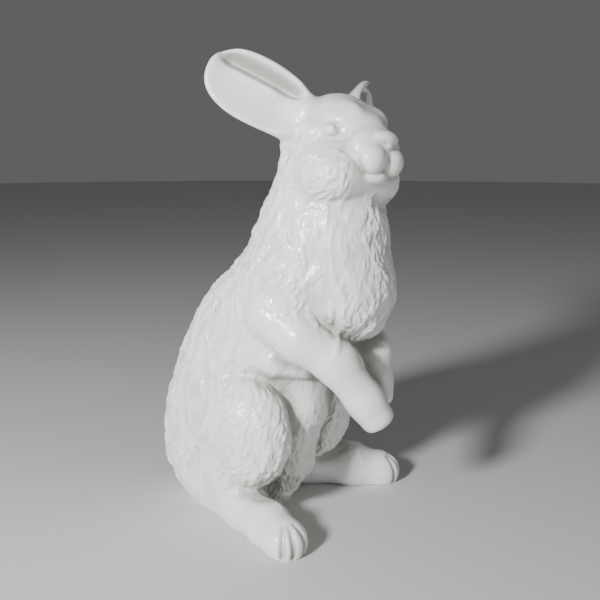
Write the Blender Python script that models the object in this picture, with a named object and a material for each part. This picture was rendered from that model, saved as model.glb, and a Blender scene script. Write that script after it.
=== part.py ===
"""White hare sitting up on its haunches: a cast figure in one piece, with a carved coat.

Metres, +Z up. The hare faces -Y, its own left is +X, and it stands on z = 0.
"""

import math

import bmesh
import bpy
import numpy as np
import openvdb
from mathutils.kdtree import KDTree

# Driving dimensions, in metres
HEIGHT = 0.392  # from the soles to the tip of the upper ear
EAR_WALL = 0.0060  # thickness of the ears' blades
LOCK_LENGTH = 0.026  # of a clump of fur
LOCK_WIDTH = 0.0120
LOCK_HEIGHT = 0.0026
GRID = 0.0022  # spacing of the samples that the skin is read from
FACETS = 9700  # triangles kept
FACE_SHARE = 0.004  # how much the face is spared when the facets are thinned

# The figure's own measure: it is 98 of these units tall, and places and sizes below are in them
UNIT = HEIGHT / 98

# Pose, in degrees
HEAD_YAW = 17.0
HEAD_PITCH = 2.0
HEAD_ROLL = 9.0
HEAD_CENTRE = (0.5, -18.6, 79.3)


def turned(degrees):
    """Rotation matrix about the vertical."""
    c, s = math.cos(math.radians(degrees)), math.sin(math.radians(degrees))
    return np.array([[c, -s, 0], [s, c, 0], [0, 0, 1]])


def unit_vector(v):
    v = np.asarray(v, float)
    return v / np.linalg.norm(v)


def smooth(low, high, x):
    t = np.clip((x - low) / (high - low), 0, 1)
    return t * t * (3 - 2 * t)


def join(a, b, soft):
    """Union of two distances with a fillet about soft wide."""
    h = np.maximum(soft - np.abs(a - b), 0) / soft
    return np.minimum(a, b) - h * h * h * soft / 6


def cut(a, b, soft):
    """a with b taken out of it, with a rounded edge."""
    return -join(-a, b, soft)


def ball(p, centre, radii, turn=None):
    """Distance to an ellipsoid, near enough close to its surface."""
    q = p - np.asarray(centre, float)
    if turn is not None:
        q = q @ turn
    radii = np.asarray(radii, float)
    near = np.sqrt(((q / radii) ** 2).sum(1) + 1e-6)
    slope = np.sqrt(((q / radii**2) ** 2).sum(1) + 1e-6 / radii.min() ** 2)
    return near * (near - 1) / slope


def limb(p, joints, soft=1.5):
    """Distance to a chain of tapered rods. joints holds (x, y, z, radius)."""
    total = None
    for start, end in zip(joints, joints[1:]):
        a, b = np.array(start[:3], float), np.array(end[:3], float)
        along = np.clip((p - a) @ (b - a) / ((b - a) @ (b - a)), 0, 1)
        radius = start[3] + (end[3] - start[3]) * along
        rod = np.linalg.norm(p - a - along[:, None] * (b - a), axis=1) - radius
        total = rod if total is None else join(total, rod, soft)
    return total


# The head's own axes, as columns: forward, left, up
def head_axes():
    ahead = turned(-HEAD_YAW) @ (0, -1, 0)
    aside = turned(-HEAD_YAW) @ (1, 0, 0)
    above = np.array([0, 0, 1.0])
    pitch, roll = math.radians(HEAD_PITCH), math.radians(HEAD_ROLL)
    forward = ahead * math.cos(pitch) + above * math.sin(pitch)
    above = above * math.cos(pitch) - ahead * math.sin(pitch)
    left = aside * math.cos(roll) - above * math.sin(roll)
    up = above * math.cos(roll) + aside * math.sin(roll)
    return np.stack([forward, left, up], 1)


HEAD = head_axes()


def from_head(place):
    """A place in the head's axes, in the figure's."""
    return np.asarray(HEAD_CENTRE) + HEAD @ np.asarray(place, float)


# The trunk's outline: height, middle in x and in y, half width, half depth
TRUNK = (
    (-6.0, 0.5, 8.0, 7.5, 10.0),
    (0.0, 0.5, 8.6, 9.5, 12.4),
    (8.0, 0.5, 10.2, 12.0, 15.2),
    (20.0, 0.0, 8.4, 12.8, 17.0),
    (32.0, 0.0, 3.8, 13.0, 17.6),
    (40.0, 0.0, -0.6, 13.2, 18.4),
    (48.0, 0.0, -6.2, 13.2, 18.8),
    (56.0, 0.0, -11.6, 12.4, 16.2),
    (64.0, 0.0, -13.5, 11.0, 13.4),
    (72.0, 0.0, -14.2, 9.2, 10.5),
    (80.0, 0.0, -15.5, 8.0, 8.0),
    (86.0, 0.0, -16.0, 6.0, 6.0),
)


def along_rows(rows, at):
    """Each column of rows at the heights in at, on a smooth curve through them."""
    rows = np.asarray(rows, float)
    i = np.clip(np.searchsorted(rows[:, 0], at) - 1, 0, len(rows) - 2)
    before, after = np.maximum(i - 1, 0), np.minimum(i + 2, len(rows) - 1)
    span = rows[i + 1, 0] - rows[i, 0]
    t = np.clip((at - rows[i, 0]) / span, 0, 1)
    columns = []
    for k in range(1, rows.shape[1]):
        v = rows[:, k]
        out = (v[i + 1] - v[before]) / (rows[i + 1, 0] - rows[before, 0]) * span
        into = (v[after] - v[i]) / (rows[after, 0] - rows[i, 0]) * span
        curve = v[i] * (2 * t**3 - 3 * t**2 + 1) + out * (t**3 - 2 * t**2 + t)
        columns.append(curve + v[i + 1] * (3 * t**2 - 2 * t**3) + into * (t**3 - t**2))
    return columns


# The belly's fur between the thighs, and on each side a fold of the flank behind the foreleg
BELLY = (
    (0, -8.4, 30, 6.6),
    (0, -7.6, 24.6, 7),
    (0, -5.1, 18.4, 7),
    (0, -4.2, 12, 6.8),
    (0, -1, 7, 6.5),
    (0, 1.5, 3, 5.5),
)
FOLDS = {
    -1: [(-9.4, -3, 37.5, 3.0), (-9.4, -8, 36.5, 3.4), (-6.5, -13, 35, 2.5)],
    1: [(9.4, -3, 37.5, 3.0), (9.4, -8, 36.5, 3.4), (6.5, -13, 35, 2.5)],
}

GROOVES = {
    -1: [(-12.9, 6.4, 40.0, 0.6), (-12.0, 5.0, 46.4, 0.9), (-9.4, 6.3, 50.4, 0.6)],
    1: [(12.9, 6.4, 40.0, 0.6), (12.0, 5.0, 46.4, 0.9), (9.4, 6.3, 50.4, 0.6)],
}


def torso(p):
    x, y, rx, ry = along_rows(TRUNK, p[:, 2])
    u, v = p[:, 0] - x, p[:, 1] - y
    near = np.sqrt((u / rx) ** 2 + (v / ry) ** 2 + 1e-6)
    slope = np.sqrt((u / rx**2) ** 2 + (v / ry**2) ** 2 + 1e-6 / rx**2)
    body = near * (near - 1) / slope
    body = cut(body, 84 - p[:, 2], 2)
    body = join(body, limb(p, BELLY), 2.2)
    # The chest's ruff, the shoulders, the folds, a groove behind each shoulder blade, and the tail
    body = join(body, ball(p, (0.5, -20.2, 51), (11, 9.0, 11.5)), 3)
    body = join(body, ball(p, (0.5, -18.5, 62), (10, 8.6, 9)), 4)
    for side in (-1, 1):
        body = join(body, ball(p, (8.6 * side, -9, 50), (5.4, 8.5, 10)), 4)
        body = join(body, limb(p, FOLDS[side]), 2.5)
        body = cut(body, limb(p, GROOVES[side]), 1.2)
    return join(body, ball(p, (1.0, 23.5, 9), (4.8, 4.4, 6.0)), 1.2)


FEET = {
    -1: [(-7.5, 8, 3.4, 4.5), (-12.2, -2.7, 3.8, 4.7), (-15.6, -10.4, 3.2, 4.4), (-18.4, -16.2, 2.0, 3.7)],
    1: [(11, 6, 3.6, 4.8), (16, -2, 4.6, 5.2), (20.5, -11, 4.0, 5.0), (24.6, -17.4, 2.0, 3.8)],
}
# Where the grooves between the toes lie round the foot's end, in degrees from its middle
TOES = {-1: (-38, -10, 25), 1: (-46, -20, 14)}


def haunch(p, side):
    """Thigh, hock and long hind foot."""
    middle = (11.0 * side + 0.5, -1.8 - 1.0 * side, 20.5)
    thigh = ball(p, middle, (7.0, 11.5, 13.0), turned(6 * side))
    shank = limb(p, [(11 * side + 1, 3, 12, 6), (11.5 * side + 1, 0, 5.5, 5.0)], 3)
    foot = limb(p, FEET[side], 3)
    tip = np.array(FEET[side][-1][:3])
    ahead = tip - np.array(FEET[side][-2][:3])
    ahead = unit_vector((ahead[0], ahead[1], 0))
    middle = tip - 0.8 * ahead + (0, 0, 0.6)
    foot = join(foot, ball(p, middle, (4.4, 4.4, 4.2)), 2.5)
    for angle in TOES[side]:
        out = turned(angle) @ ahead
        groove = []
        for rise in (60, 38, 16, -6, -25):
            lift = math.radians(rise)
            place = middle + 4.7 * math.cos(lift) * out + (0, 0, 4.5 * math.sin(lift))
            groove.append((*place, 0.5))
        foot = cut(foot, limb(p, groove, 0.2), 0.7)
    rump = ball(p, (8.6 * side, 8.5, 9.5), (6.0, 8.5, 9.0))
    return join(join(join(thigh, shank, 2), rump, 3), foot, 2)


ARMS = {
    -1: [
        (-10.2, -8, 46.0, 5.2),
        (-10.0, -14.5, 42, 4.8),
        (-7.8, -21.4, 37.3, 4.2),
        (-5, -26.5, 29.5, 3.6),
        (-3.9, -28.5, 26.1, 3.5),
    ],
    1: [
        (10.4, -10, 46.0, 5.2),
        (10.4, -15.5, 41.5, 4.7),
        (8.5, -21.6, 36.3, 4.0),
        (5.6, -23.6, 30.5, 3.6),
        (5, -24.5, 27.5, 3.4),
    ],
}


def arm(p, side):
    """Foreleg that ends in a blunt paw."""
    joints = ARMS[side]
    end = np.array(joints[-1][:3])
    ahead = unit_vector(end - np.array(joints[-2][:3]))
    return cut(limb(p, joints, 3), 2.2 - (p - end) @ ahead, 1.4)


def head(p):
    q = (p - np.asarray(HEAD_CENTRE)) @ HEAD
    skull = ball(q, (-2.6, 0, 2.2), (9.0, 8.2, 8.2))
    for centre, radii, soft in (
        ((0.0, 0, -4.6), (9.4, 9.4, 7.6), 4),
        ((3.6, 0, 1.2), (6.2, 5.2, 5.4), 4),
        ((1.6, 5.6, -6.4), (6.8, 5.6, 5.2), 4),
        ((1.6, -5.6, -6.4), (6.8, 5.6, 5.2), 4),
        ((8.0, 0, -1.3), (3.6, 6.2, 5.1), 0.8),
        ((8.2, 0, -6.0), (2.9, 3.0, 1.7), 0.5),
    ):
        skull = join(skull, ball(q, centre, radii), soft)
    for side in (-1, 1):
        skull = join(skull, ball(q, (2.8, 3.6 * side, 5.2), (3.8, 2.0, 2.4)), 3.5)
        skull = cut(skull, ball(q, (2.3, 9.2 * side, 1.9), (3.4, 1.8, 2.3)), 2.0)
        skull = join(skull, ball(q, (2.5, 4.9 * side, 4.1), (2.8, 2.2, 1.8)), 2.0)
        skull = join(skull, ball(q, (2.7, 6.4 * side, 1.8), (1.8, 1.7, 1.5)), 0.15)
        skull = join(skull, ball(q, (10.1, 2.5 * side, -3.0), (2.3, 3.0, 2.9)), 0.3)
    skull = join(skull, ball(q, (10.9, 0, -0.1), (1.3, 1.3, 1.2)), 0.4)
    return join(skull, ball(q, (10.5, 0, 1.0), (1.9, 3.2, 1.6)), 0.35)


EAR_AIM = {-1: (-0.52, -0.77, 0.345), 1: (-0.47, 0.78, 0.42)}
EAR_FACING = {-1: (0.69, -0.70, 0.15), 1: (0.88, 0.47, 0.12)}
EAR_LENGTH = 21.4
EAR_HALF_WIDTH = 6.0
EAR_ROUND = 2.3  # how blunt the tip is: 2 would be an ellipse


def ear(p, side):
    """A cupped blade on a thick root, hollow on the side that looks forward."""
    q = (p - from_head((-5.5, 6 * side, 5.5))) @ HEAD
    along, facing = unit_vector(EAR_AIM[side]), np.array(EAR_FACING[side])
    facing = unit_vector(facing - (facing @ along) * along)
    across = np.cross(along, facing) * -side
    s, w, n = q @ along / EAR_LENGTH, q @ across, q @ facing
    t = np.maximum(s, 0)
    # The outline: an oval beyond the middle of the length, tapered towards the root, fuller below
    below = smooth(1.5, -1.5, w)
    half = EAR_HALF_WIDTH * (1 + 0.22 * below)
    half = half * (1 - (0.4 - 0.28 * below) * (np.maximum(0.5 - t, 0) / 0.5) ** 2)
    u, v = 2 * np.maximum(t - 0.5, 0) + 1e-4, np.abs(w) / half + 1e-4
    near = (u**EAR_ROUND + v**EAR_ROUND) ** (1 / EAR_ROUND)
    steep = np.hypot(u ** (EAR_ROUND - 1) * 2 / EAR_LENGTH, v ** (EAR_ROUND - 1) / half)
    edge = (near - 1) * near ** (EAR_ROUND - 1) / np.maximum(steep, 1e-4)
    # Across the blade: a raised lower edge, a shallow dish, a rib, a deep hollow and a broad rim
    share = np.clip(w / half, -1.2, 1.2)
    rib = 0.7 * np.exp(-(((share - 0.16) / 0.14) ** 2)) * smooth(0.2, 0.4, t) * smooth(0.85, 0.65, t)
    hollow = -2.2 * np.exp(-(((share - 0.46) / 0.19) ** 2)) + 1.4 * smooth(0.55, 0.95, share)
    dish = 1.1 * smooth(-0.3, -1.0, share) - 0.3
    fade = smooth(0, 0.2, t) * smooth(1.0, 0.8, t)
    middle = (rib + hollow + dish) * fade
    wall = EAR_WALL / UNIT / 2 + 0.5 * smooth(0.5, 0.9, share) * fade + 1.8 * smooth(0.3, 0, t)
    wide = np.maximum(edge + wall, 0)
    return np.sqrt(wide**2 + (n - middle) ** 2 + ((s - t) * EAR_LENGTH) ** 2) - wall


def figure(p):
    """Distance from each point to the hare's skin."""
    body = torso(p)
    rear = 1.5 + 6 * smooth(0, 12, p[:, 1]) * smooth(6, 14, p[:, 2])
    for side in (-1, 1):
        body = join(body, haunch(p, side), rear)
    for side in (-1, 1):
        body = join(body, arm(p, side), 1.4)
    body = join(body, head(p), 2.0)
    for side in (-1, 1):
        root = limb(p, [
            (*from_head((-5, 6 * side, 5.5)), 3.4),
            (*from_head((-6.8, 6.2 * side, -1)), 3.0),
            (*from_head((-7.5, 5.6 * side, -9)), 3.4),
        ], 2)
        body = join(body, join(ear(p, side), root, 2), 1.2)
    return np.maximum(body, -3 - p[:, 2])


def slope(p):
    """Outward direction of the skin at p, and how fast the distance grows there."""
    corners = np.array([[1, -1, -1], [-1, -1, 1], [-1, 1, -1], [1, 1, 1]], float)
    total = sum(corner * figure(p + 0.04 * corner)[:, None] for corner in corners)
    total /= 4 * 0.04
    size = np.maximum(np.linalg.norm(total, axis=1), 1e-6)
    return total / size[:, None], size


def onto_skin(p, rounds):
    for _ in range(rounds):
        outward, size = slope(p)
        p = p - (np.clip(figure(p) / size, -2, 2))[:, None] * outward
    return p


LOW, HIGH = np.array([-32.0, -38.0, -5.0]), np.array([40.0, 32.0, 104.0])
COARSE = 4


def skin_mesh(spacing):
    """Vertices, in the figure's own measure, and faces of the skin."""
    step = spacing / UNIT
    wide = step * COARSE
    counts = np.ceil((HIGH - LOW) / wide).astype(int)
    cells = np.stack(np.meshgrid(*(np.arange(n) for n in counts), indexing="ij"), -1).reshape(-1, 3)
    rough = figure(LOW + (cells + 0.5) * wide)
    # Only the cells near the skin are sampled finely: in the others the sign is enough
    values = np.where(rough < 0, -3.0, 3.0).reshape(counts).astype(np.float32)
    for axis in range(3):
        values = np.repeat(values, COARSE, axis)
    values = np.pad(values, ((0, 1),) * 3, mode="edge")
    cells = cells[np.abs(rough) < wide * 1.5]
    inner = np.stack(np.meshgrid(*(np.arange(COARSE + 1),) * 3, indexing="ij"), -1).reshape(-1, 3)
    places = (cells[:, None] * COARSE + inner).reshape(-1, 3)
    flat = np.unique(np.ravel_multi_index(places.T, values.shape))
    places = np.stack(np.unravel_index(flat, values.shape), -1)
    found = np.concatenate([figure(LOW + part * step) for part in np.array_split(places, 12)])
    values.ravel()[flat] = found
    volume = openvdb.FloatGrid(background=3.0)
    volume.copyFromArray(np.ascontiguousarray(values))
    points, _, quads = volume.convertToPolygons(0.0, 0.0)
    return points * step + LOW, quads[:, ::-1]


def regions(p):
    """How far each point belongs to the trunk, the head, the hind legs, the forelegs and the ears."""
    legs = np.minimum(haunch(p, -1), haunch(p, 1))
    arms = np.minimum(arm(p, -1), arm(p, 1))
    ears = np.minimum(ear(p, -1), ear(p, 1))
    parts = np.stack([torso(p), head(p), legs, arms, ears])
    shares = np.exp((parts.min(0) - parts) / 0.7)
    return shares / shares.sum(0)


def coat(p, outward):
    """How strongly the coat is carved at p, and which way its fur lies."""
    q = (p - np.asarray(HEAD_CENTRE)) @ HEAD
    trunk, skull, legs, arms, ears = regions(p)
    belly = smooth(-4, -9, p[:, 1]) * smooth(42, 37, p[:, 2]) * smooth(20, 26, p[:, 2])
    breast = smooth(-14, -20, p[:, 1]) * smooth(40, 44, p[:, 2])
    loin = smooth(4, 10, p[:, 1]) * smooth(24, 14, p[:, 2])
    aside = smooth(2.5, 5, np.abs(q[:, 1]) - 0.3 * q[:, 2])
    cheek = smooth(6.0, 3, q[:, 0]) * smooth(1, -3, q[:, 2]) * aside
    strength = (
        trunk * (0.85 + 0.25 * breast + 0.25 * loin - 0.4 * belly)
        + skull * (0.02 + 0.6 * cheek)
        + legs * (0.7 * smooth(6, 12, p[:, 2]) + 0.3 * loin + 0.04)
        + arms * 0.08
    )
    down = np.stack([-0.03 * p[:, 0] * breast, np.full(len(p), 0.25), np.full(len(p), -1.0)], -1)
    swept = -0.75 * HEAD[:, 0] - 0.6 * HEAD[:, 2]
    lie = down * (1 - skull)[:, None] + swept * skull[:, None]
    turn = 0.5 * np.sin(p[:, 2] * 0.42 + p[:, 1] * 0.31) * np.cos(p[:, 0] * 0.37 - p[:, 1] * 0.23)
    turn += 0.35 * np.sin(p[:, 2] * 0.9 - p[:, 1] * 0.7 + 1.0) * np.sin(p[:, 0] * 0.8 + p[:, 1] * 0.6)
    lie = lie - (lie * outward).sum(1)[:, None] * outward
    lie /= np.maximum(np.linalg.norm(lie, axis=1), 1e-6)[:, None]
    lie = lie * np.cos(turn)[:, None] + np.cross(outward, lie) * np.sin(turn)[:, None]
    return strength, lie


def lock_seeds(apart, seed):
    """Places on the skin, about apart from one another, where a lock of fur is rooted."""
    rng = np.random.default_rng(seed)
    wide = 2.0
    counts = np.ceil((HIGH - LOW) / wide).astype(int)
    cells = np.stack(np.meshgrid(*(np.arange(n) for n in counts), indexing="ij"), -1).reshape(-1, 3)
    middles = LOW + (cells + 0.5) * wide
    middles = middles[np.abs(figure(middles)) < wide]
    number = int(26000 / apart**2)
    tries = middles[rng.integers(0, len(middles), number)] + rng.uniform(-1, 1, (number, 3))
    tries = onto_skin(tries, 3)
    kept, cellmap = [], {}
    for i, place in enumerate(tries):
        key = tuple((place // apart).astype(int))
        close = False
        for dx in (-1, 0, 1):
            for dy in (-1, 0, 1):
                for dz in (-1, 0, 1):
                    for j in cellmap.get((key[0] + dx, key[1] + dy, key[2] + dz), ()):
                        if ((tries[j] - place) ** 2).sum() < apart * apart:
                            close = True
        if not close:
            kept.append(i)
            cellmap.setdefault(key, []).append(i)
    return tries[kept]


def lock_relief(p, seeds, length, width, height, seed):
    """Height that the locks rooted at seeds give each point of the skin."""
    rng = np.random.default_rng(seed)
    outward, _ = slope(seeds)
    strength, lie = coat(seeds, outward)
    size = rng.uniform(0.7, 1.15, len(seeds))
    tall = rng.uniform(0.3, 1.0, len(seeds)) * strength * height
    lean = rng.normal(0, 0.22, len(seeds))
    lie = lie * np.cos(lean)[:, None] + np.cross(outward, lie) * np.sin(lean)[:, None]
    tree = KDTree(len(seeds))
    for i, place in enumerate(seeds):
        tree.insert(place.tolist(), i)
    tree.balance()
    near = np.array([[i for _, i, _ in tree.find_n(place, 12)] for place in p.tolist()])
    relief = np.zeros(len(p))
    for k in range(near.shape[1]):
        i = near[:, k]
        offset = p - seeds[i]
        s = (offset * lie[i]).sum(1) / (length * size[i])
        a = (offset * np.cross(outward[i], lie[i])).sum(1) / (width * size[i] / 2)
        lift = smooth(-0.62, -0.1, s) * smooth(0.62, 0.36, s)
        narrow = 1.0 - 0.55 * smooth(0.0, 0.62, s)
        relief = np.maximum(relief, tall[i] * lift * np.maximum(1 - (a / narrow) ** 2, 0))
    return relief


def white_glaze():
    material = bpy.data.materials.new("white_glaze")
    material.use_nodes = True
    shader = material.node_tree.nodes["Principled BSDF"]
    shader.inputs["Base Color"].default_value = (0.82, 0.82, 0.80, 1.0)
    shader.inputs["Roughness"].default_value = 0.25
    return material


def thinned(mesh, facets):
    """The same skin in fewer, larger facets, which stay smallest on the face."""
    obj = bpy.data.objects.new("fine", mesh)
    places = np.empty(len(mesh.vertices) * 3)
    mesh.vertices.foreach_get("co", places)
    q = (places.reshape(-1, 3) / UNIT - np.asarray(HEAD_CENTRE)) @ HEAD
    face = (q[:, 0] > 0) & (q[:, 2] > -9) & (np.abs(q[:, 1]) < 9)
    group = obj.vertex_groups.new(name="plain")
    group.add(np.flatnonzero(~face).tolist(), 1.0, "REPLACE")
    group.add(np.flatnonzero(face).tolist(), 0.5, "REPLACE")
    bpy.context.scene.collection.objects.link(obj)
    mesh.calc_loop_triangles()
    fewer = obj.modifiers.new("fewer", "DECIMATE")
    fewer.ratio = facets / len(mesh.loop_triangles)
    fewer.vertex_group = group.name
    fewer.vertex_group_factor = FACE_SHARE
    seen = obj.evaluated_get(bpy.context.evaluated_depsgraph_get())
    coarse = bpy.data.meshes.new_from_object(seen)
    bpy.data.objects.remove(obj)
    return coarse


def stand_flat(mesh):
    """Cuts the skin at z = 0 and closes it with the flat underside."""
    bm = bmesh.new()
    bm.from_mesh(mesh)
    everything = bm.verts[:] + bm.edges[:] + bm.faces[:]
    level = {"plane_co": (0, 0, 0), "plane_no": (0, 0, -1)}
    bmesh.ops.bisect_plane(bm, geom=everything, dist=1e-5, clear_outer=True, **level)
    rim = [e for e in bm.edges if e.is_boundary]
    bmesh.ops.holes_fill(bm, edges=rim, sides=0)
    bmesh.ops.remove_doubles(bm, verts=bm.verts[:], dist=0.0001)
    bmesh.ops.triangulate(bm, faces=bm.faces[:])
    bmesh.ops.recalc_face_normals(bm, faces=bm.faces[:])
    bm.to_mesh(mesh)
    bm.free()


def carved_skin():
    """The skin with its locks of fur, closed below the ground."""
    points, quads = skin_mesh(GRID)
    points = onto_skin(points, 1)
    outward, _ = slope(points)
    strength, _ = coat(points, outward)
    seeds = lock_seeds(LOCK_WIDTH / UNIT * 0.8, 7)
    height = LOCK_HEIGHT / UNIT
    relief = lock_relief(points, seeds, LOCK_LENGTH / UNIT, LOCK_WIDTH / UNIT, height, 8)
    points = points + outward * (relief - 0.35 * height * strength)[:, None]
    fine = bpy.data.meshes.new("fine")
    fine.from_pydata((points * UNIT).tolist(), [], quads.tolist())
    fine.validate()
    return fine


def main():
    for o in list(bpy.data.objects):
        bpy.data.objects.remove(o)
    mesh = thinned(carved_skin(), FACETS)
    stand_flat(mesh)
    mesh.name = "hare"
    mesh.materials.append(white_glaze())
    obj = bpy.data.objects.new("hare", mesh)
    bpy.context.scene.collection.objects.link(obj)
    return obj


if __name__ == "__main__":
    main()
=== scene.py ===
"""Looks of the white hare: its finely carved, glazed skin, a pale floor, soft light and the camera.

Metres, +Z up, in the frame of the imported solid. The hare faces -Y and its own left is +X.
"""

import math

import bmesh
import bpy
import numpy as np
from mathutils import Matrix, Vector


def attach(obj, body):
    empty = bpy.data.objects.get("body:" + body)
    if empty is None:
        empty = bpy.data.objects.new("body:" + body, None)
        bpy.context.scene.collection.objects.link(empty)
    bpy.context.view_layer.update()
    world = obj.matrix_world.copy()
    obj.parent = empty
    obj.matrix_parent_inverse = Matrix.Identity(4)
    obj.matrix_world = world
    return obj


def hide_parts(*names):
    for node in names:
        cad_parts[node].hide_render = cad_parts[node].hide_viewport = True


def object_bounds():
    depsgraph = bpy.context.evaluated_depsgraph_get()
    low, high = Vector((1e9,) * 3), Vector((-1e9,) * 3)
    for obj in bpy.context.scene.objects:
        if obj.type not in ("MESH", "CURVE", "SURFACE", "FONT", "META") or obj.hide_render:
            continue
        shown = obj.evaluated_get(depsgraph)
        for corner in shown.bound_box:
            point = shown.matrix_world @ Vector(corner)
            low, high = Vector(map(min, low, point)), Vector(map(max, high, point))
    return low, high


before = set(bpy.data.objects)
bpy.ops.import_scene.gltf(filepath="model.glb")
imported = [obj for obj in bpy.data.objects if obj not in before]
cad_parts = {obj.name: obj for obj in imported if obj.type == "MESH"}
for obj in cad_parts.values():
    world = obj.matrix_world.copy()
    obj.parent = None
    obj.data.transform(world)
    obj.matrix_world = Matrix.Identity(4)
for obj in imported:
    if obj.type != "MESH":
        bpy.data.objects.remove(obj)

import openvdb
from mathutils import Matrix, Vector
from mathutils.kdtree import KDTree

cad_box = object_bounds()

# Driving sizes, in metres: the solid's own, but for the locks' height, which is a little more here
HEIGHT = 0.392  # from the soles to the tip of the upper ear
EAR_WALL = 0.0060  # thickness of the ears' blades
LOCK_LENGTH = 0.026  # of a clump of fur
LOCK_WIDTH = 0.0120
LOCK_HEIGHT = 0.0031

# Sizes of the finer carving
LOCK_GROOVES = 0.3  # depth of the grooves along a clump, as a share of its height
HAIR_LENGTH = 0.0125  # of a tuft
HAIR_WIDTH = 0.0042
HAIR_HEIGHT = 0.0013
GRID = 0.0013  # spacing of the samples that the skin is read from
TRIANGLES = 196000  # kept

# Seeds of the random draws: where the locks and the tufts are rooted, and how each one varies
LOCK_PLACES, LOCK_SHAPES = 7, 8
HAIR_PLACES, HAIR_SHAPES = 9, 10

# The figure's own measure: it is 98 of these units tall, and places and sizes below are in them
UNIT = HEIGHT / 98

# Pose, in degrees
HEAD_YAW = 17.0
HEAD_PITCH = 2.0
HEAD_ROLL = 9.0
HEAD_CENTRE = (0.5, -18.6, 79.3)


def turned(degrees):
    """Rotation matrix about the vertical."""
    c, s = math.cos(math.radians(degrees)), math.sin(math.radians(degrees))
    return np.array([[c, -s, 0], [s, c, 0], [0, 0, 1]])


def unit_vector(v):
    v = np.asarray(v, float)
    return v / np.linalg.norm(v)


def smooth(low, high, x):
    t = np.clip((x - low) / (high - low), 0, 1)
    return t * t * (3 - 2 * t)


def join(a, b, soft):
    """Union of two distances with a fillet about soft wide."""
    h = np.maximum(soft - np.abs(a - b), 0) / soft
    return np.minimum(a, b) - h * h * h * soft / 6


def cut(a, b, soft):
    """a with b taken out of it, with a rounded edge."""
    return -join(-a, b, soft)


def ball(p, centre, radii, turn=None):
    """Distance to an ellipsoid, near enough close to its surface."""
    q = p - np.asarray(centre, float)
    if turn is not None:
        q = q @ turn
    radii = np.asarray(radii, float)
    near = np.sqrt(((q / radii) ** 2).sum(1) + 1e-6)
    slope = np.sqrt(((q / radii**2) ** 2).sum(1) + 1e-6 / radii.min() ** 2)
    return near * (near - 1) / slope


def limb(p, joints, soft=1.5):
    """Distance to a chain of tapered rods. joints holds (x, y, z, radius)."""
    total = None
    for start, end in zip(joints, joints[1:]):
        a, b = np.array(start[:3], float), np.array(end[:3], float)
        along = np.clip((p - a) @ (b - a) / ((b - a) @ (b - a)), 0, 1)
        radius = start[3] + (end[3] - start[3]) * along
        rod = np.linalg.norm(p - a - along[:, None] * (b - a), axis=1) - radius
        total = rod if total is None else join(total, rod, soft)
    return total


def head_axes():
    """The head's own axes, as columns: forward, left, up."""
    ahead = turned(-HEAD_YAW) @ (0, -1, 0)
    aside = turned(-HEAD_YAW) @ (1, 0, 0)
    above = np.array([0, 0, 1.0])
    pitch, roll = math.radians(HEAD_PITCH), math.radians(HEAD_ROLL)
    forward = ahead * math.cos(pitch) + above * math.sin(pitch)
    above = above * math.cos(pitch) - ahead * math.sin(pitch)
    left = aside * math.cos(roll) - above * math.sin(roll)
    up = above * math.cos(roll) + aside * math.sin(roll)
    return np.stack([forward, left, up], 1)


HEAD = head_axes()


def from_head(place):
    """A place in the head's axes, in the figure's."""
    return np.asarray(HEAD_CENTRE) + HEAD @ np.asarray(place, float)


# The trunk's outline: height, middle in x and in y, half width, half depth
TRUNK = (
    (-6.0, 0.5, 8.0, 7.5, 10.0),
    (0.0, 0.5, 8.6, 9.5, 12.4),
    (8.0, 0.5, 10.2, 12.0, 15.2),
    (20.0, 0.0, 8.4, 12.8, 17.0),
    (32.0, 0.0, 3.8, 13.0, 17.6),
    (40.0, 0.0, -0.6, 13.2, 18.4),
    (48.0, 0.0, -6.2, 13.2, 18.8),
    (56.0, 0.0, -11.6, 12.4, 16.2),
    (64.0, 0.0, -13.5, 11.0, 13.4),
    (72.0, 0.0, -14.2, 9.2, 10.5),
    (80.0, 0.0, -15.5, 8.0, 8.0),
    (86.0, 0.0, -16.0, 6.0, 6.0),
)


def along_rows(rows, at):
    """Each column of rows at the heights in at, on a smooth curve through them."""
    rows = np.asarray(rows, float)
    i = np.clip(np.searchsorted(rows[:, 0], at) - 1, 0, len(rows) - 2)
    before, after = np.maximum(i - 1, 0), np.minimum(i + 2, len(rows) - 1)
    span = rows[i + 1, 0] - rows[i, 0]
    t = np.clip((at - rows[i, 0]) / span, 0, 1)
    columns = []
    for k in range(1, rows.shape[1]):
        v = rows[:, k]
        out = (v[i + 1] - v[before]) / (rows[i + 1, 0] - rows[before, 0]) * span
        into = (v[after] - v[i]) / (rows[after, 0] - rows[i, 0]) * span
        curve = v[i] * (2 * t**3 - 3 * t**2 + 1) + out * (t**3 - 2 * t**2 + t)
        columns.append(curve + v[i + 1] * (3 * t**2 - 2 * t**3) + into * (t**3 - t**2))
    return columns


# The belly's fur between the thighs
BELLY = (
    (0, -8.4, 30, 6.6),
    (0, -7.6, 24.6, 7),
    (0, -5.1, 18.4, 7),
    (0, -4.2, 12, 6.8),
    (0, -1, 7, 6.5),
    (0, 1.5, 3, 5.5),
)
# On each side a fold of the flank behind the foreleg
FOLDS = {
    -1: [(-9.4, -3, 37.5, 3.0), (-9.4, -8, 36.5, 3.4), (-6.5, -13, 35, 2.5)],
    1: [(9.4, -3, 37.5, 3.0), (9.4, -8, 36.5, 3.4), (6.5, -13, 35, 2.5)],
}
# Behind each shoulder blade
GROOVES = {
    -1: [(-12.9, 6.4, 40.0, 0.6), (-12.0, 5.0, 46.4, 0.9), (-9.4, 6.3, 50.4, 0.6)],
    1: [(12.9, 6.4, 40.0, 0.6), (12.0, 5.0, 46.4, 0.9), (9.4, 6.3, 50.4, 0.6)],
}


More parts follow.
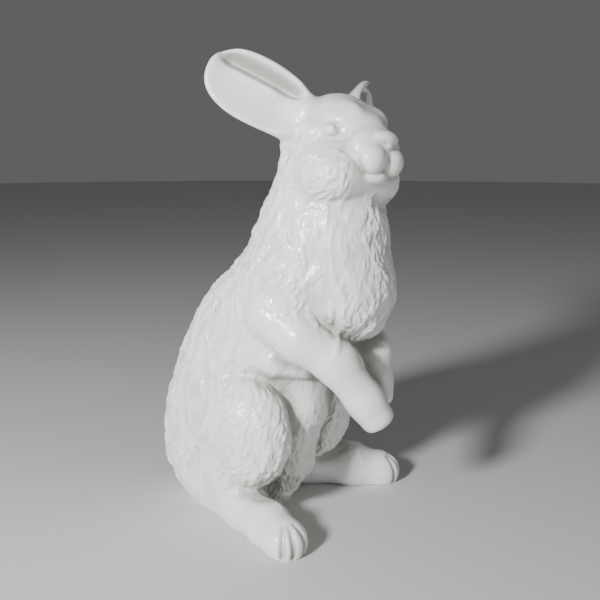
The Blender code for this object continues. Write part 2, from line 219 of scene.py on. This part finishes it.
def torso(p):
    """Trunk with its chest, shoulders, belly and tail."""
    x, y, rx, ry = along_rows(TRUNK, p[:, 2])
    u, v = p[:, 0] - x, p[:, 1] - y
    near = np.sqrt((u / rx) ** 2 + (v / ry) ** 2 + 1e-6)
    slope = np.sqrt((u / rx**2) ** 2 + (v / ry**2) ** 2 + 1e-6 / rx**2)
    body = near * (near - 1) / slope
    body = cut(body, 84 - p[:, 2], 2)
    body = join(body, limb(p, BELLY), 2.2)
    # The chest's ruff, the shoulders, the folds and grooves, and the tail
    body = join(body, ball(p, (0.5, -20.2, 51), (11, 9.0, 11.5)), 3)
    body = join(body, ball(p, (0.5, -18.5, 62), (10, 8.6, 9)), 4)
    for side in (-1, 1):
        body = join(body, ball(p, (8.6 * side, -9, 50), (5.4, 8.5, 10)), 4)
        body = join(body, limb(p, FOLDS[side]), 2.5)
        body = cut(body, limb(p, GROOVES[side]), 1.2)
    return join(body, ball(p, (1.0, 23.5, 9), (4.8, 4.4, 6.0)), 1.2)


# From the heel to the toes
FEET = {
    -1: [(-7.5, 8, 3.4, 4.5), (-12.2, -2.7, 3.8, 4.7), (-15.6, -10.4, 3.2, 4.4), (-18.4, -16.2, 2.0, 3.7)],
    1: [(11, 6, 3.6, 4.8), (16, -2, 4.6, 5.2), (20.5, -11, 4.0, 5.0), (24.6, -17.4, 2.0, 3.8)],
}
# Where the grooves between the toes lie round the foot's end, in degrees from its middle
TOES = {-1: (-38, -10, 25), 1: (-46, -20, 14)}


def haunch(p, side):
    """Thigh, hock and long hind foot."""
    middle = (11.0 * side + 0.5, -1.8 - 1.0 * side, 20.5)
    thigh = ball(p, middle, (7.0, 11.5, 13.0), turned(6 * side))
    shank = limb(p, [(11 * side + 1, 3, 12, 6), (11.5 * side + 1, 0, 5.5, 5.0)], 3)
    foot = limb(p, FEET[side], 3)
    tip = np.array(FEET[side][-1][:3])
    ahead = tip - np.array(FEET[side][-2][:3])
    ahead = unit_vector((ahead[0], ahead[1], 0))
    middle = tip - 0.8 * ahead + (0, 0, 0.6)
    foot = join(foot, ball(p, middle, (4.4, 4.4, 4.2)), 2.5)
    for angle in TOES[side]:
        out = turned(angle) @ ahead
        groove = []
        for rise in (60, 38, 16, -6, -25):
            lift = math.radians(rise)
            place = middle + 4.7 * math.cos(lift) * out + (0, 0, 4.5 * math.sin(lift))
            groove.append((*place, 0.5))
        foot = cut(foot, limb(p, groove, 0.2), 0.7)
    rump = ball(p, (8.6 * side, 8.5, 9.5), (6.0, 8.5, 9.0))
    return join(join(join(thigh, shank, 2), rump, 3), foot, 2)


# From the shoulder to the paw
ARMS = {
    -1: [
        (-10.2, -8, 46.0, 5.2),
        (-10.0, -14.5, 42, 4.8),
        (-7.8, -21.4, 37.3, 4.2),
        (-5, -26.5, 29.5, 3.6),
        (-3.9, -28.5, 26.1, 3.5),
    ],
    1: [
        (10.4, -10, 46.0, 5.2),
        (10.4, -15.5, 41.5, 4.7),
        (8.5, -21.6, 36.3, 4.0),
        (5.6, -23.6, 30.5, 3.6),
        (5, -24.5, 27.5, 3.4),
    ],
}


def arm(p, side):
    """Foreleg that ends in a blunt paw."""
    joints = ARMS[side]
    end = np.array(joints[-1][:3])
    ahead = unit_vector(end - np.array(joints[-2][:3]))
    return cut(limb(p, joints, 3), 2.2 - (p - end) @ ahead, 1.4)


# The left eye, in the head's axes
EYE = (2.7, 6.4, 1.8)
EYE_RADII = (1.8, 1.7, 1.5)


def head(p):
    """Skull, jaw, cheeks and snout, and the brow, lid, eye and whisker pad of each side, and the nose."""
    q = (p - np.asarray(HEAD_CENTRE)) @ HEAD
    skull = ball(q, (-2.6, 0, 2.2), (9.0, 8.2, 8.2))
    for centre, radii, soft in (
        ((0.0, 0, -4.6), (9.4, 9.4, 7.6), 4),
        ((3.6, 0, 1.2), (6.2, 5.2, 5.4), 4),
        ((1.6, 5.6, -6.4), (6.8, 5.6, 5.2), 4),
        ((1.6, -5.6, -6.4), (6.8, 5.6, 5.2), 4),
        ((8.0, 0, -1.3), (3.6, 6.2, 5.1), 0.8),
        ((8.2, 0, -6.0), (2.9, 3.0, 1.7), 0.5),
    ):
        skull = join(skull, ball(q, centre, radii), soft)
    for side in (-1, 1):
        skull = join(skull, ball(q, (2.8, 3.6 * side, 5.2), (3.8, 2.0, 2.4)), 3.5)
        skull = cut(skull, ball(q, (2.3, 9.2 * side, 1.9), (3.4, 1.8, 2.3)), 2.0)
        skull = join(skull, ball(q, (2.5, 4.9 * side, 4.1), (2.8, 2.2, 1.8)), 2.0)
        skull = join(skull, ball(q, (EYE[0], EYE[1] * side, EYE[2]), EYE_RADII), 0.15)
        skull = join(skull, ball(q, (10.1, 2.5 * side, -3.0), (2.3, 3.0, 2.9)), 0.3)
    skull = join(skull, ball(q, (10.9, 0, -0.1), (1.3, 1.3, 1.2)), 0.4)
    return join(skull, ball(q, (10.5, 0, 1.0), (1.9, 3.2, 1.6)), 0.35)


# Where each ear points and which way its hollow looks, in the head's axes
EAR_AIM = {-1: (-0.52, -0.77, 0.345), 1: (-0.47, 0.78, 0.42)}
EAR_FACING = {-1: (0.69, -0.70, 0.15), 1: (0.88, 0.47, 0.12)}
EAR_LENGTH = 21.4
EAR_HALF_WIDTH = 6.0
EAR_ROUND = 2.3  # how blunt the tip is: 2 would be an ellipse


def ear(p, side):
    """A cupped blade on a thick root, hollow on the side that looks forward."""
    q = (p - from_head((-5.5, 6 * side, 5.5))) @ HEAD
    along, facing = unit_vector(EAR_AIM[side]), np.array(EAR_FACING[side])
    facing = unit_vector(facing - (facing @ along) * along)
    across = np.cross(along, facing) * -side
    s, w, n = q @ along / EAR_LENGTH, q @ across, q @ facing
    t = np.maximum(s, 0)
    # The outline: an oval beyond the middle of the length, tapered towards the root, fuller below
    below = smooth(1.5, -1.5, w)
    half = EAR_HALF_WIDTH * (1 + 0.22 * below)
    half = half * (1 - (0.4 - 0.28 * below) * (np.maximum(0.5 - t, 0) / 0.5) ** 2)
    u, v = 2 * np.maximum(t - 0.5, 0) + 1e-4, np.abs(w) / half + 1e-4
    near = (u**EAR_ROUND + v**EAR_ROUND) ** (1 / EAR_ROUND)
    steep = np.hypot(u ** (EAR_ROUND - 1) * 2 / EAR_LENGTH, v ** (EAR_ROUND - 1) / half)
    edge = (near - 1) * near ** (EAR_ROUND - 1) / np.maximum(steep, 1e-4)
    # Across the blade: a raised lower edge, a shallow dish, a rib, a deep hollow and a broad rim
    share = np.clip(w / half, -1.2, 1.2)
    rib = 0.7 * np.exp(-(((share - 0.16) / 0.14) ** 2)) * smooth(0.2, 0.4, t) * smooth(0.85, 0.65, t)
    hollow = -2.2 * np.exp(-(((share - 0.46) / 0.19) ** 2)) + 1.4 * smooth(0.55, 0.95, share)
    dish = 1.1 * smooth(-0.3, -1.0, share) - 0.3
    fade = smooth(0, 0.2, t) * smooth(1.0, 0.8, t)
    middle = (rib + hollow + dish) * fade
    wall = EAR_WALL / UNIT / 2 + 0.5 * smooth(0.5, 0.9, share) * fade + 1.8 * smooth(0.3, 0, t)
    wide = np.maximum(edge + wall, 0)
    return np.sqrt(wide**2 + (n - middle) ** 2 + ((s - t) * EAR_LENGTH) ** 2) - wall


def figure(p):
    """Distance from each point to the hare's skin."""
    body = torso(p)
    rear = 1.5 + 6 * smooth(0, 12, p[:, 1]) * smooth(6, 14, p[:, 2])
    for side in (-1, 1):
        body = join(body, haunch(p, side), rear)
    for side in (-1, 1):
        body = join(body, arm(p, side), 1.4)
    body = join(body, head(p), 2.0)
    for side in (-1, 1):
        root = limb(p, [
            (*from_head((-5, 6 * side, 5.5)), 3.4),
            (*from_head((-6.8, 6.2 * side, -1)), 3.0),
            (*from_head((-7.5, 5.6 * side, -9)), 3.4),
        ], 2)
        body = join(body, join(ear(p, side), root, 2), 1.2)
    return np.maximum(body, -3 - p[:, 2])


def slope(p):
    """Outward direction of the skin at p, and how fast the distance grows there."""
    corners = np.array([[1, -1, -1], [-1, -1, 1], [-1, 1, -1], [1, 1, 1]], float)
    total = sum(corner * figure(p + 0.04 * corner)[:, None] for corner in corners)
    total /= 4 * 0.04
    size = np.maximum(np.linalg.norm(total, axis=1), 1e-6)
    return total / size[:, None], size


def onto_skin(p, rounds):
    for _ in range(rounds):
        outward, size = slope(p)
        p = p - (np.clip(figure(p) / size, -2, 2))[:, None] * outward
    return p


# The space that is sampled
LOW, HIGH = np.array([-32.0, -38.0, -5.0]), np.array([40.0, 32.0, 104.0])
COARSE = 4  # fine cells along the edge of a coarse one
FAR = 3.0  # the distance written where no skin is near
BATCHES = 12  # that the samples are read in, to spare memory


def skin_mesh(spacing):
    """Vertices, in the figure's own measure, and faces of the skin."""
    step = spacing / UNIT
    wide = step * COARSE
    counts = np.ceil((HIGH - LOW) / wide).astype(int)
    cells = np.stack(np.meshgrid(*(np.arange(n) for n in counts), indexing="ij"), -1).reshape(-1, 3)
    rough = figure(LOW + (cells + 0.5) * wide)
    # Only the cells near the skin are sampled finely: in the others the sign is enough
    values = np.where(rough < 0, -FAR, FAR).reshape(counts).astype(np.float32)
    for axis in range(3):
        values = np.repeat(values, COARSE, axis)
    values = np.pad(values, ((0, 1),) * 3, mode="edge")
    cells = cells[np.abs(rough) < wide * 1.5]
    inner = np.stack(np.meshgrid(*(np.arange(COARSE + 1),) * 3, indexing="ij"), -1).reshape(-1, 3)
    places = (cells[:, None] * COARSE + inner).reshape(-1, 3)
    flat = np.unique(np.ravel_multi_index(places.T, values.shape))
    places = np.stack(np.unravel_index(flat, values.shape), -1)
    batches = np.array_split(places, BATCHES)
    found = np.concatenate([figure(LOW + batch * step) for batch in batches])
    values.ravel()[flat] = found
    volume = openvdb.FloatGrid(background=FAR)
    volume.copyFromArray(np.ascontiguousarray(values))
    points, _, quads = volume.convertToPolygons(0.0, 0.0)
    return points * step + LOW, quads[:, ::-1]


def regions(p):
    """How far each point belongs to the trunk, the head, the hind legs, the forelegs and the ears."""
    legs = np.minimum(haunch(p, -1), haunch(p, 1))
    arms = np.minimum(arm(p, -1), arm(p, 1))
    ears = np.minimum(ear(p, -1), ear(p, 1))
    parts = np.stack([torso(p), head(p), legs, arms, ears])
    shares = np.exp((parts.min(0) - parts) / 0.7)
    return shares / shares.sum(0)


def coat(p, outward):
    """How strongly the coat is carved at p, and which way its fur lies."""
    q = (p - np.asarray(HEAD_CENTRE)) @ HEAD
    trunk, skull, legs, arms, _ = regions(p)
    belly = smooth(-4, -9, p[:, 1]) * smooth(42, 37, p[:, 2]) * smooth(20, 26, p[:, 2])
    breast = smooth(-14, -20, p[:, 1]) * smooth(40, 44, p[:, 2])
    loin = smooth(4, 10, p[:, 1]) * smooth(24, 14, p[:, 2])
    aside = smooth(2.5, 5, np.abs(q[:, 1]) - 0.3 * q[:, 2])
    cheek = smooth(6.0, 3, q[:, 0]) * smooth(1, -3, q[:, 2]) * aside
    strength = (
        trunk * (0.85 + 0.25 * breast + 0.25 * loin - 0.4 * belly)
        + skull * (0.02 + 0.6 * cheek)
        + legs * (0.7 * smooth(6, 12, p[:, 2]) + 0.3 * loin + 0.04)
        + arms * 0.08
    )
    down = np.stack([-0.03 * p[:, 0] * breast, np.full(len(p), 0.25), np.full(len(p), -1.0)], -1)
    swept = -0.75 * HEAD[:, 0] - 0.6 * HEAD[:, 2]
    lie = down * (1 - skull)[:, None] + swept * skull[:, None]
    turn = 0.5 * np.sin(p[:, 2] * 0.42 + p[:, 1] * 0.31) * np.cos(p[:, 0] * 0.37 - p[:, 1] * 0.23)
    turn += 0.35 * np.sin(p[:, 2] * 0.9 - p[:, 1] * 0.7 + 1.0) * np.sin(p[:, 0] * 0.8 + p[:, 1] * 0.6)
    lie = lie - (lie * outward).sum(1)[:, None] * outward
    lie /= np.maximum(np.linalg.norm(lie, axis=1), 1e-6)[:, None]
    lie = lie * np.cos(turn)[:, None] + np.cross(outward, lie) * np.sin(turn)[:, None]
    return strength, lie


TRIES = 26000  # places tried for locks one unit apart: enough to fill the skin


def lock_seeds(apart, seed):
    """Places on the skin, about apart from one another, where a lock of fur is rooted."""
    rng = np.random.default_rng(seed)
    wide = 2.0
    counts = np.ceil((HIGH - LOW) / wide).astype(int)
    cells = np.stack(np.meshgrid(*(np.arange(n) for n in counts), indexing="ij"), -1).reshape(-1, 3)
    middles = LOW + (cells + 0.5) * wide
    middles = middles[np.abs(figure(middles)) < wide]
    number = int(TRIES / apart**2)
    tries = middles[rng.integers(0, len(middles), number)] + rng.uniform(-1, 1, (number, 3))
    tries = onto_skin(tries, 3)
    kept, cellmap = [], {}
    for i, place in enumerate(tries):
        key = tuple((place // apart).astype(int))
        close = False
        for dx in (-1, 0, 1):
            for dy in (-1, 0, 1):
                for dz in (-1, 0, 1):
                    for j in cellmap.get((key[0] + dx, key[1] + dy, key[2] + dz), ()):
                        if ((tries[j] - place) ** 2).sum() < apart * apart:
                            close = True
        if not close:
            kept.append(i)
            cellmap.setdefault(key, []).append(i)
    return tries[kept]


def lids(p):
    """The narrow crease round each eye, deepest along the upper lid."""
    q = (p - np.asarray(HEAD_CENTRE)) @ HEAD
    ahead, above = (q[:, 0] - EYE[0]) / EYE_RADII[0], (q[:, 2] - EYE[2]) / EYE_RADII[2]
    ring = np.exp(-(((np.hypot(ahead, above) - 0.98) / 0.13) ** 2))
    return ring * smooth(3, 4, np.abs(q[:, 1])) * (0.1 + 0.9 * smooth(-0.2, 0.6, above + 0.3 * ahead))


def hair(p):
    """How strongly the fine tufts are carved at p."""
    q = (p - np.asarray(HEAD_CENTRE)) @ HEAD
    trunk, skull, legs, arms, _ = regions(p)
    cheek = smooth(7.5, 5, q[:, 0]) * smooth(2, 4, np.abs(q[:, 1]))
    cheek = np.maximum(cheek, smooth(9.5, 7.5, q[:, 0]) * smooth(5.2, 6.6, np.abs(q[:, 1])))
    cheek = cheek * smooth(4, 0.5, q[:, 2])
    crown = smooth(6, 2, q[:, 0]) * smooth(3, 6, q[:, 2])
    eye = np.linalg.norm(np.stack([q[:, 0], np.abs(q[:, 1]), q[:, 2]], -1) - EYE, axis=1)
    return (
        trunk * (1.0 - 0.7 * belly(p) - 0.6 * calm(p) + 0.2 * bib(p))
        + skull * (1.5 * cheek + 0.2 * crown) * smooth(2.4, 3.6, eye)
        + legs * 1.1 * smooth(8, 12, p[:, 2])
        + arms * 0.12
    )


def round_chest(p):
    """How far round the chest p lies from its middle, in degrees, on either side."""
    return np.degrees(np.arctan2(np.abs(p[:, 0]), -13 - p[:, 1]))


def bib(p):
    """The chest's middle."""
    turn = round_chest(p)
    return smooth(38, 20, turn) * smooth(42, 46, p[:, 2]) * smooth(76, 70, p[:, 2])


def calm(p):
    """Where the chest is smoother: a broad band on each side of its middle."""
    turn = round_chest(p)
    return smooth(15, 30, turn) * smooth(80, 62, turn) * smooth(48, 53, p[:, 2]) * smooth(74, 68, p[:, 2])


def belly(p):
    """The smoother flank and belly between the forelegs and the thighs."""
    return smooth(2, -6, p[:, 1]) * smooth(43, 39, p[:, 2]) * smooth(16, 24, p[:, 2])


NEIGHBOURS = 12  # locks that can lie over a place


def lock_relief(p, seeds, tall, size, seed, strands):
    """Height that the locks rooted at seeds give each point of the skin, in the figure's own measure.

    tall is each lock's height; size is (length, width) in metres, and strands is how deep the grooves
    along a lock are, as a share of its height.
    """
    length, width = (value / UNIT for value in size)
    outward, _ = slope(seeds)
    _, lie = coat(seeds, outward)
    rng = np.random.default_rng(seed)
    share = rng.uniform(0.7, 1.15, len(seeds))
    tall = tall * rng.uniform(0.3, 1.0, len(seeds))
    lean = rng.normal(0, 0.22, len(seeds))
    bend = rng.normal(0, 0.35, len(seeds))
    lie = lie * np.cos(lean)[:, None] + np.cross(outward, lie) * np.sin(lean)[:, None]
    aside = np.cross(outward, lie)
    tree = KDTree(len(seeds))
    for i, place in enumerate(seeds):
        tree.insert(place.tolist(), i)
    tree.balance()
    near = np.array([[i for _, i, _ in tree.find_n(place, NEIGHBOURS)] for place in p.tolist()])
    relief = np.zeros(len(p))
    for i in near.T:
        offset = p - seeds[i]
        # Along and across the lock, 0 at its root; it swells, and narrows towards its tip
        s = (offset * lie[i]).sum(1) / (length * share[i])
        a = (offset * aside[i]).sum(1) / (width * share[i] / 2) + bend[i] * np.sin(5 * s)
        lift = smooth(-0.62, -0.1, s) * smooth(0.62, 0.36, s)
        a = a / (1.0 - 0.55 * smooth(0.0, 0.62, s))
        comb = 1 - strands * (0.5 - 0.5 * np.cos(a * 7.5 + 1.4 * np.sin(s * 5 + i)))
        relief = np.maximum(relief, tall[i] * lift * np.maximum(1 - a**2, 0) * comb)
    return relief


SEED_SPACING = 0.8  # between roots, as a share of a lock's width
LID_DEPTH = 0.3
# How far the skin is sunk under its relief, as shares of the relief's full height
LOCK_SUNK, HAIR_SUNK = 0.35, 0.3


def carved_skin():
    """The skin with its locks and tufts of fur, closed below the ground."""
    points, quads = skin_mesh(GRID)
    points = onto_skin(points, 1)
    outward, _ = slope(points)
    strength, _ = coat(points, outward)
    lock, fine = LOCK_HEIGHT / UNIT, HAIR_HEIGHT / UNIT
    clumps = lock_seeds(LOCK_WIDTH / UNIT * SEED_SPACING, LOCK_PLACES)
    tall, _ = coat(clumps, slope(clumps)[0])
    tall *= 1 - 0.4 * calm(clumps) - 0.5 * bib(clumps) - 0.4 * belly(clumps)
    size = (LOCK_LENGTH, LOCK_WIDTH)
    relief = lock_relief(points, clumps, tall * lock, size, LOCK_SHAPES, LOCK_GROOVES)
    tufts = lock_seeds(HAIR_WIDTH / UNIT * SEED_SPACING, HAIR_PLACES)
    size = (HAIR_LENGTH, HAIR_WIDTH)
    relief += lock_relief(points, tufts, hair(tufts) * fine, size, HAIR_SHAPES, 0)
    sunk = LOCK_SUNK * lock * strength + HAIR_SUNK * fine * hair(points)
    sunk += LID_DEPTH * lids(points)
    points = points + outward * (relief - sunk)[:, None]
    mesh = bpy.data.meshes.new("fine")
    mesh.from_pydata((points * UNIT).tolist(), [], quads.tolist())
    mesh.validate()
    return mesh


def thinned(mesh, triangles):
    """The same skin in fewer triangles, which go where the carving is."""
    obj = bpy.data.objects.new("fine", mesh)
    bpy.context.scene.collection.objects.link(obj)
    mesh.calc_loop_triangles()
    fewer = obj.modifiers.new("fewer", "DECIMATE")
    fewer.ratio = min(1.0, triangles / len(mesh.loop_triangles))
    seen = obj.evaluated_get(bpy.context.evaluated_depsgraph_get())
    coarse = bpy.data.meshes.new_from_object(seen)
    bpy.data.objects.remove(obj)
    return coarse


def stand_flat(mesh):
    """Cuts the skin at z = 0 and closes it with the flat underside."""
    bm = bmesh.new()
    bm.from_mesh(mesh)
    everything = bm.verts[:] + bm.edges[:] + bm.faces[:]
    level = {"plane_co": (0, 0, 0), "plane_no": (0, 0, -1)}
    bmesh.ops.bisect_plane(bm, geom=everything, dist=1e-5, clear_outer=True, **level)
    rim = [e for e in bm.edges if e.is_boundary]
    bmesh.ops.holes_fill(bm, edges=rim, sides=0)
    bmesh.ops.triangulate(bm, faces=bm.faces[:])
    bmesh.ops.recalc_face_normals(bm, faces=bm.faces[:])
    bm.to_mesh(mesh)
    bm.free()


def inside_box(mesh, box):
    """Keeps the skin within the solid's box, which its finer relief would pass by a hair."""
    low, high = np.array(box[0]), np.array(box[1])
    places = np.empty(len(mesh.vertices) * 3)
    mesh.vertices.foreach_get("co", places)
    places = np.clip(places.reshape(-1, 3), low, high)
    mesh.vertices.foreach_set("co", places.ravel())
    mesh.update()


# Colours of the glaze, where it is thick and thin, and the painted shade that darkens it in creases and
# hollows
THICK, THIN = (0.83, 0.825, 0.80, 1), (0.90, 0.90, 0.89, 1)
PAINTED_CREASE_SHADE, UNSHADED_OPEN_SKIN = (0.55, 0.545, 0.525, 1), (1, 1, 1, 1)
CLOUD_SCALE, RIPPLE_SCALE = 22.0, 260.0
GLOSSY, DULL = 0.28, 0.46  # roughness
RIPPLE_DEPTH = 0.0004
# The mix node's colour sockets: in, in and out
FIRST, SECOND, MIXED = 6, 7, 2


def ramp(nodes, low, low_color, high, high_color):
    """Colour ramp from low_color at low to high_color at high."""
    node = nodes.new("ShaderNodeValToRGB")
    for element, place, color in zip(node.color_ramp.elements, (low, high), (low_color, high_color)):
        element.position, element.color = place, color
    return node


def noise(nodes, scale, detail):
    node = nodes.new("ShaderNodeTexNoise")
    node.inputs["Scale"].default_value = scale
    node.inputs["Detail"].default_value = detail
    return node


def glaze():
    """White glaze, a little creamier and glossier where it is thick, with painted shade that greys it in
    creases and hollows.
    """
    material = bpy.data.materials.new("white_glaze")
    material.use_nodes = True
    nodes, links = material.node_tree.nodes, material.node_tree.links
    shader = nodes["Principled BSDF"]
    shader.inputs["IOR"].default_value = 1.5
    shader.inputs["Coat Weight"].default_value = 0.35
    shader.inputs["Coat Roughness"].default_value = 0.12
    place = nodes.new("ShaderNodeTexCoord")
    cloud, ripple = noise(nodes, CLOUD_SCALE, 4.0), noise(nodes, RIPPLE_SCALE, 3.0)
    for texture in (cloud, ripple):
        links.new(place.outputs["Object"], texture.inputs["Vector"])
    tint = ramp(nodes, 0.3, THICK, 0.7, THIN)
    links.new(cloud.outputs["Fac"], tint.inputs["Fac"])
    # Painted shade: the colour is greyed where the skin is less open, in creases, hollows and along the
    # lids
    free = nodes.new("ShaderNodeAttribute")
    free.attribute_name = "open"
    shade = ramp(nodes, 0.4, PAINTED_CREASE_SHADE, 0.98, UNSHADED_OPEN_SKIN)
    links.new(free.outputs["Fac"], shade.inputs["Fac"])
    both = nodes.new("ShaderNodeMix")
    both.data_type = "RGBA"
    both.blend_type = "MULTIPLY"
    both.inputs["Factor"].default_value = 1.0
    links.new(tint.outputs["Color"], both.inputs[FIRST])
    links.new(shade.outputs["Color"], both.inputs[SECOND])
    links.new(both.outputs[MIXED], shader.inputs["Base Color"])
    dull = nodes.new("ShaderNodeMapRange")
    dull.inputs["To Min"].default_value = GLOSSY
    dull.inputs["To Max"].default_value = DULL
    links.new(cloud.outputs["Fac"], dull.inputs["Value"])
    links.new(dull.outputs["Result"], shader.inputs["Roughness"])
    bump = nodes.new("ShaderNodeBump")
    bump.inputs["Strength"].default_value = 0.25
    bump.inputs["Distance"].default_value = RIPPLE_DEPTH
    links.new(ripple.outputs["Fac"], bump.inputs["Height"])
    links.new(bump.outputs["Normal"], shader.inputs["Normal"])
    return material


# How far out from the skin its openness is read, which the glaze turns into painted shade: for narrow
# creases, and for wide hollows
REACHES = (1.5, 4.5)
HOLLOW_SPARED = 0.05
# Painted shade along the lids, as a share taken from the openness
LID_SHADE = 0.3


def mark_open_for_painted_shade(mesh):
    """Notes at each vertex how open the skin is there: near 1 on smooth skin, less in creases and along
    the lids. The glaze darkens its colour by this as painted shade.
    """
    places, normals = np.empty((2, len(mesh.vertices) * 3))
    mesh.vertices.foreach_get("co", places)
    mesh.vertices.foreach_get("normal", normals)
    places, normals = places.reshape(-1, 3) / UNIT, normals.reshape(-1, 3)
    near, far = (figure(places + reach * normals) / reach for reach in REACHES)
    free = np.clip(np.minimum(near, far + HOLLOW_SPARED), 0, 1) * (1 - LID_SHADE * lids(places))
    mesh.attributes.new("open", "FLOAT", "POINT").data.foreach_set("value", free)


def make_hare():
    """The finely carved figure, in place of the solid."""
    mesh = thinned(carved_skin(), TRIANGLES)
    stand_flat(mesh)
    inside_box(mesh, cad_box)
    mark_open_for_painted_shade(mesh)
    mesh.name = "hare_glazed"
    mesh.materials.append(glaze())
    mesh.shade_smooth()
    hare = bpy.data.objects.new("hare_glazed", mesh)
    bpy.context.scene.collection.objects.link(hare)
    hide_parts("hare")
    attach(hare, "root")


FLOOR_RADIUS = 6.0
FLOOR_GAP = 0.0002  # below the underside
FLOOR_COLOR = (0.62, 0.62, 0.61, 1)


def make_floor():
    """A plain pale floor."""
    bm = bmesh.new()
    bmesh.ops.create_circle(bm, cap_ends=True, segments=96, radius=FLOOR_RADIUS)
    mesh = bpy.data.meshes.new("floor")
    bm.to_mesh(mesh)
    bm.free()
    material = bpy.data.materials.new("pale_floor")
    material.use_nodes = True
    shader = material.node_tree.nodes["Principled BSDF"]
    shader.inputs["Base Color"].default_value = FLOOR_COLOR
    shader.inputs["Roughness"].default_value = 0.9
    mesh.materials.append(material)
    floor = bpy.data.objects.new("floor", mesh)
    floor.location.z = -FLOOR_GAP
    bpy.context.scene.collection.objects.link(floor)


# The camera looks at the hare's right side, from somewhat in front of it and a little above
LENS, SENSOR = 49.44, 36.0
CAMERA_TURN = math.radians(-60)
CAMERA_DIP = math.radians(11)
CAMERA_BACK, CAMERA_ASIDE, CAMERA_RISE = 0.70, 0.03, 0.322


def make_camera():
    """Sets up the camera and returns its level directions: to its right, backwards and up."""
    aside = Vector((math.cos(CAMERA_TURN), math.sin(CAMERA_TURN), 0))
    back = Vector((math.sin(CAMERA_TURN), -math.cos(CAMERA_TURN), 0))
    above = Vector((0, 0, 1))
    behind = back * math.cos(CAMERA_DIP) + above * math.sin(CAMERA_DIP)
    up = above * math.cos(CAMERA_DIP) - back * math.sin(CAMERA_DIP)
    place = back * CAMERA_BACK + aside * CAMERA_ASIDE + above * CAMERA_RISE
    lens = bpy.data.cameras.new("camera")
    lens.lens, lens.sensor_width = LENS, SENSOR
    camera = bpy.data.objects.new("camera", lens)
    turn = Matrix((aside, up, behind)).transposed().to_4x4()
    camera.matrix_world = Matrix.Translation(place) @ turn
    bpy.context.scene.collection.objects.link(camera)
    bpy.context.scene.camera = camera
    return aside, back, above


# The lamps' widths in metres and powers in watts, and the height that they are aimed at
KEY_SIZE, KEY_POWER = 0.2, 34
FILL_SIZE, FILL_POWER = 0.8, 3
AIM_HEIGHT = 0.2
SURROUND_COLOR, SURROUND_STRENGTH = (0.6, 0.6, 0.6, 1), 0.2


def softbox(name, place, size, power):
    """A round lamp aimed at the figure's middle."""
    light = bpy.data.lights.new(name, "AREA")
    light.shape = "DISK"
    light.size, light.energy = size, power
    lamp = bpy.data.objects.new(name, light)
    lamp.location = place
    behind = place - Vector((0, 0, AIM_HEIGHT))
    lamp.rotation_euler = behind.to_track_quat("Z", "Y").to_euler()
    bpy.context.scene.collection.objects.link(lamp)


def make_light(aside, back, above):
    """A soft key from the camera's left, a weak fill from its right and a pale surround."""
    softbox("key", back * 1.1 - aside * 0.7 + above * 0.7, KEY_SIZE, KEY_POWER)
    softbox("fill", back * 0.6 + aside * 1.3 + above * 0.5, FILL_SIZE, FILL_POWER)
    world = bpy.data.worlds.new("surround")
    world.use_nodes = True
    surround = world.node_tree.nodes["Background"]
    surround.inputs["Color"].default_value = SURROUND_COLOR
    surround.inputs["Strength"].default_value = SURROUND_STRENGTH
    bpy.context.scene.world = world


make_hare()
make_floor()
make_light(*make_camera())
